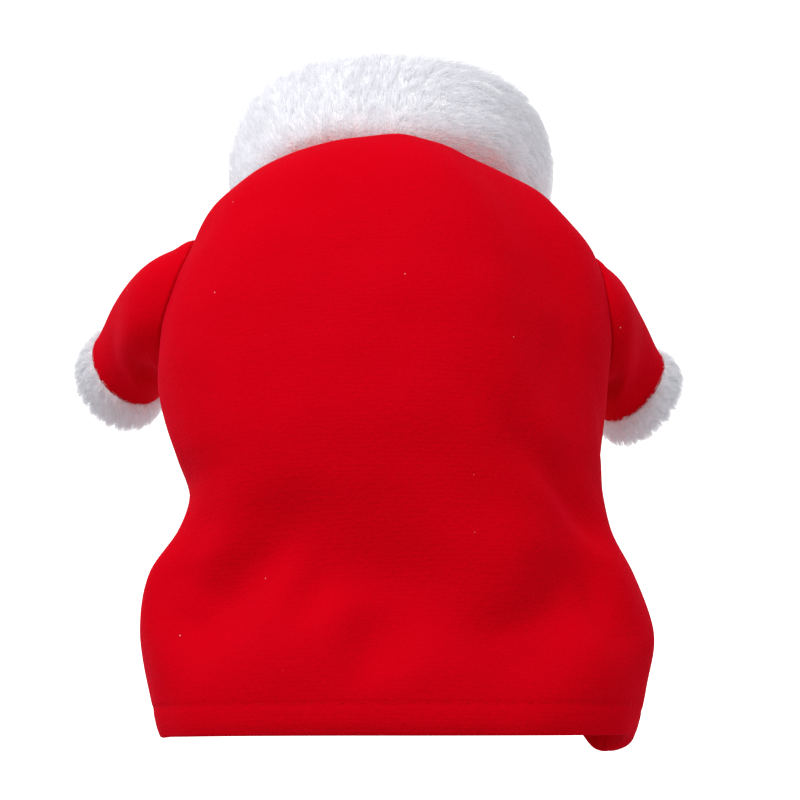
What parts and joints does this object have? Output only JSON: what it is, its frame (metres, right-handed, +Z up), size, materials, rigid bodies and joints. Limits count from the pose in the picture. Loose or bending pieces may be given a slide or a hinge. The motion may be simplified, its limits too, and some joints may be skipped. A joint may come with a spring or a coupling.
{
  "type": "dog santa coat",
  "caption": "Short-sleeved red fleece coat for a small dog, filled out as worn, with a deep white plush collar and plush cuffs.",
  "frame": {"origin": "middle of the neck opening, where the wearer's neck holds the coat up", "axes": "+Z up as worn, the coat leaning forward so its neck is above the chest; +X to the coat's right seen from behind; +Y towards the chest side"},
  "size_m": [0.2917, 0.2414, 0.3105],
  "materials": {
    "fleece_red": "brushed matt fleece",
    "plush_white": "long pile plush"
  },
  "bodies": {
    "root": {"back": "fleece_red", "front": "fleece_red", "sleeve_left": "fleece_red", "sleeve_right": "fleece_red", "collar": "plush_white", "cuff_left": "plush_white", "cuff_right": "plush_white"}
  },
  "joints": []
}
